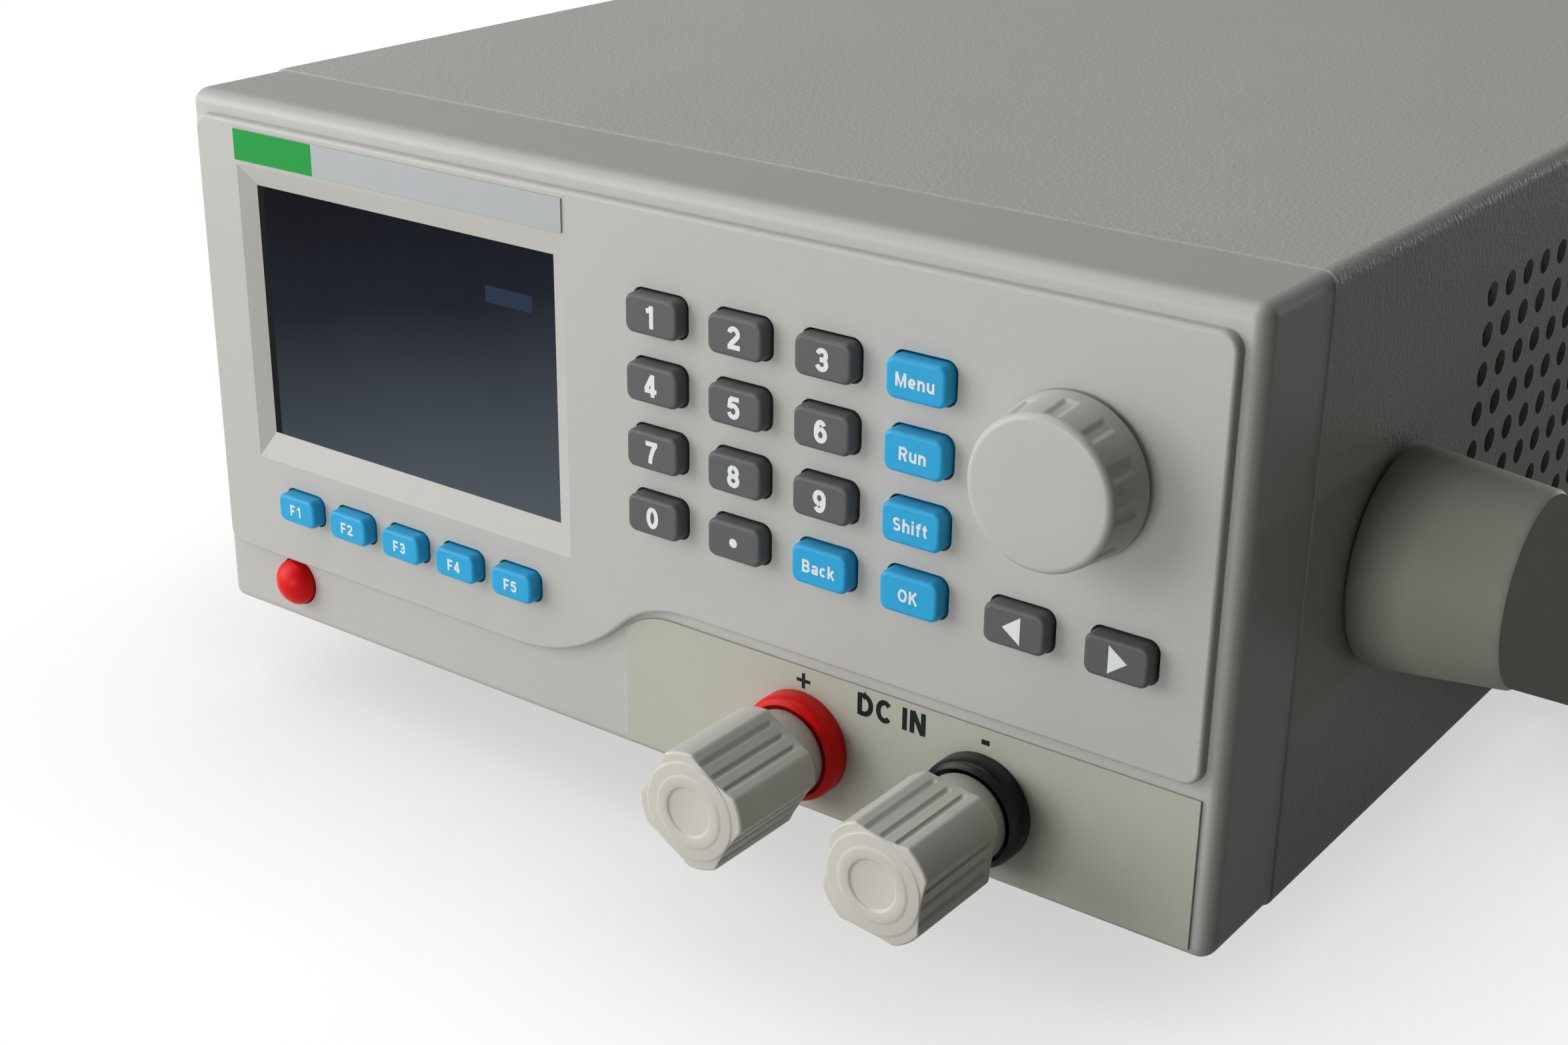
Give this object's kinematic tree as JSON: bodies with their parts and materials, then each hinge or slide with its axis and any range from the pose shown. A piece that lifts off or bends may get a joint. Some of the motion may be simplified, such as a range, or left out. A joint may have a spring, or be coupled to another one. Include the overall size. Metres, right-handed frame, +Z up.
{
  "type": "dc electronic load",
  "caption": "Bench dc electronic load with a display, keypad, rotary knob, binding posts, a folding carry handle, vented sheet case and rear cooling fan.",
  "frame": {"origin": "on the table, under the middle of the object's overall box", "axes": "+X to the right seen from the front, +Y from the front panel to the rear, +Z up"},
  "size_m": [0.2692, 0.3664, 0.1225],
  "materials": {
    "bezel_plastic": "fine moulded grain",
    "cap_plastic": "satin moulded",
    "cover_paint": "textured powder coat",
    "chassis_steel": "zinc plated",
    "key_grey": "soft matte",
    "key_blue": "soft matte",
    "window_glass": "clear over a dark screen",
    "strip_print": "printed film",
    "label_film": "printed film",
    "red_plastic": "glossy",
    "black_plastic": "satin moulded",
    "circuit_board": "solder mask",
    "screen_metal": "satin",
    "bright_steel": "plated",
    "brass": "machined",
    "foot_rubber": "moulded",
    "sink_aluminium": "extruded",
    "core_iron": "varnished"
  },
  "bodies": {
    "case": {"front_bezel": "bezel_plastic", "title_strip": "strip_print", "lcd_window": "window_glass", "lcd_module": "screen_metal", "encoder_body": "black_plastic", "power_switch": "black_plastic", "front_pcb": "circuit_board", "input_label": "label_film", "collar_positive": "red_plastic", "collar_negative": "black_plastic", "terminal_studs": "brass", "top_cover": "cover_paint", "chassis": "chassis_steel", "rear_panel": "cover_paint", "case_screws": "bright_steel", "feet": "foot_rubber", "hub_right": "black_plastic", "hub_left": "black_plastic", "pivot_bolts": "bright_steel", "main_pcb": "circuit_board", "mosfets": "black_plastic", "heat_sink": "sink_aluminium", "transformer": "core_iron", "fan_frame": "black_plastic", "fan_guard": "bright_steel", "mains_inlet": "black_plastic", "serial_port": "bright_steel"},
    "key_0_cap": {"key_0": "key_grey"},
    "key_1_cap": {"key_1": "key_grey"},
    "key_2_cap": {"key_2": "key_grey"},
    "key_3_cap": {"key_3": "key_grey"},
    "key_4_cap": {"key_4": "key_grey"},
    "key_5_cap": {"key_5": "key_grey"},
    "key_6_cap": {"key_6": "key_grey"},
    "key_7_cap": {"key_7": "key_grey"},
    "key_8_cap": {"key_8": "key_grey"},
    "key_9_cap": {"key_9": "key_grey"},
    "key_point_cap": {"key_point": "key_grey"},
    "key_menu_cap": {"key_menu": "key_blue"},
    "key_run_cap": {"key_run": "key_blue"},
    "key_shift_cap": {"key_shift": "key_blue"},
    "key_ok_cap": {"key_ok": "key_blue"},
    "key_back_cap": {"key_back": "key_blue"},
    "key_left_cap": {"key_left": "key_grey"},
    "key_right_cap": {"key_right": "key_grey"},
    "soft_key_1_cap": {"soft_key_1": "key_blue"},
    "soft_key_2_cap": {"soft_key_2": "key_blue"},
    "soft_key_3_cap": {"soft_key_3": "key_blue"},
    "soft_key_4_cap": {"soft_key_4": "key_blue"},
    "soft_key_5_cap": {"soft_key_5": "key_blue"},
    "dial": {"knob": "bezel_plastic", "encoder_shaft": "bright_steel"},
    "power": {"power_button": "red_plastic"},
    "post_cap_positive": {"cap_positive": "cap_plastic"},
    "post_cap_negative": {"cap_negative": "cap_plastic"},
    "rotor": {"fan_rotor": "black_plastic"},
    "handle": {"arm_right": "bezel_plastic", "arm_left": "bezel_plastic", "grip": "black_plastic"}
  },
  "joints": [
    {"name": "key_0_press", "type": "slide", "parent": "case", "child": "key_0_cap", "axis": [0, 1, 0], "range_m": [0, 0.001], "stiffness_N_per_m": 600},
    {"name": "key_1_press", "type": "slide", "parent": "case", "child": "key_1_cap", "axis": [0, 1, 0], "range_m": [0, 0.001], "stiffness_N_per_m": 600},
    {"name": "key_2_press", "type": "slide", "parent": "case", "child": "key_2_cap", "axis": [0, 1, 0], "range_m": [0, 0.001], "stiffness_N_per_m": 600},
    {"name": "key_3_press", "type": "slide", "parent": "case", "child": "key_3_cap", "axis": [0, 1, 0], "range_m": [0, 0.001], "stiffness_N_per_m": 600},
    {"name": "key_4_press", "type": "slide", "parent": "case", "child": "key_4_cap", "axis": [0, 1, 0], "range_m": [0, 0.001], "stiffness_N_per_m": 600},
    {"name": "key_5_press", "type": "slide", "parent": "case", "child": "key_5_cap", "axis": [0, 1, 0], "range_m": [0, 0.001], "stiffness_N_per_m": 600},
    {"name": "key_6_press", "type": "slide", "parent": "case", "child": "key_6_cap", "axis": [0, 1, 0], "range_m": [0, 0.001], "stiffness_N_per_m": 600},
    {"name": "key_7_press", "type": "slide", "parent": "case", "child": "key_7_cap", "axis": [0, 1, 0], "range_m": [0, 0.001], "stiffness_N_per_m": 600},
    {"name": "key_8_press", "type": "slide", "parent": "case", "child": "key_8_cap", "axis": [0, 1, 0], "range_m": [0, 0.001], "stiffness_N_per_m": 600},
    {"name": "key_9_press", "type": "slide", "parent": "case", "child": "key_9_cap", "axis": [0, 1, 0], "range_m": [0, 0.001], "stiffness_N_per_m": 600},
    {"name": "key_point_press", "type": "slide", "parent": "case", "child": "key_point_cap", "axis": [0, 1, 0], "range_m": [0, 0.001], "stiffness_N_per_m": 600},
    {"name": "key_menu_press", "type": "slide", "parent": "case", "child": "key_menu_cap", "axis": [0, 1, 0], "range_m": [0, 0.001], "stiffness_N_per_m": 600},
    {"name": "key_run_press", "type": "slide", "parent": "case", "child": "key_run_cap", "axis": [0, 1, 0], "range_m": [0, 0.001], "stiffness_N_per_m": 600},
    {"name": "key_shift_press", "type": "slide", "parent": "case", "child": "key_shift_cap", "axis": [0, 1, 0], "range_m": [0, 0.001], "stiffness_N_per_m": 600},
    {"name": "key_ok_press", "type": "slide", "parent": "case", "child": "key_ok_cap", "axis": [0, 1, 0], "range_m": [0, 0.001], "stiffness_N_per_m": 600},
    {"name": "key_back_press", "type": "slide", "parent": "case", "child": "key_back_cap", "axis": [0, 1, 0], "range_m": [0, 0.001], "stiffness_N_per_m": 600},
    {"name": "key_left_press", "type": "slide", "parent": "case", "child": "key_left_cap", "axis": [0, 1, 0], "range_m": [0, 0.001], "stiffness_N_per_m": 600},
    {"name": "key_right_press", "type": "slide", "parent": "case", "child": "key_right_cap", "axis": [0, 1, 0], "range_m": [0, 0.001], "stiffness_N_per_m": 600},
    {"name": "soft_key_1_press", "type": "slide", "parent": "case", "child": "soft_key_1_cap", "axis": [0, 1, 0], "range_m": [0, 0.001], "stiffness_N_per_m": 600},
    {"name": "soft_key_2_press", "type": "slide", "parent": "case", "child": "soft_key_2_cap", "axis": [0, 1, 0], "range_m": [0, 0.001], "stiffness_N_per_m": 600},
    {"name": "soft_key_3_press", "type": "slide", "parent": "case", "child": "soft_key_3_cap", "axis": [0, 1, 0], "range_m": [0, 0.001], "stiffness_N_per_m": 600},
    {"name": "soft_key_4_press", "type": "slide", "parent": "case", "child": "soft_key_4_cap", "axis": [0, 1, 0], "range_m": [0, 0.001], "stiffness_N_per_m": 600},
    {"name": "soft_key_5_press", "type": "slide", "parent": "case", "child": "soft_key_5_cap", "axis": [0, 1, 0], "range_m": [0, 0.001], "stiffness_N_per_m": 600},
    {"name": "dial_turn", "type": "hinge", "parent": "case", "child": "dial", "pos_m": [0.0824, -0.15275, 0.0923], "axis": [0, 1, 0], "continuous": true},
    {"name": "power_press", "type": "slide", "parent": "case", "child": "power", "axis": [0, 1, 0], "range_m": [0, 0.003], "stiffness_N_per_m": 700},
    {"name": "positive_cap_turn", "type": "hinge", "parent": "case", "child": "post_cap_positive", "pos_m": [0.0337, -0.15275, 0.0322], "axis": [0, 1, 0], "continuous": true},
    {"name": "negative_cap_turn", "type": "hinge", "parent": "case", "child": "post_cap_negative", "pos_m": [0.0688, -0.15275, 0.0322], "axis": [0, 1, 0], "continuous": true},
    {"name": "fan_spin", "type": "hinge", "parent": "case", "child": "rotor", "pos_m": [0.046, 0.16525, 0.07025], "axis": [0, 1, 0], "continuous": true},
    {"name": "handle_swing", "type": "hinge", "parent": "case", "child": "handle", "pos_m": [0, -0.10035, 0.069], "axis": [-1, 0, 0], "range_deg": [0, 295]}
  ]
}
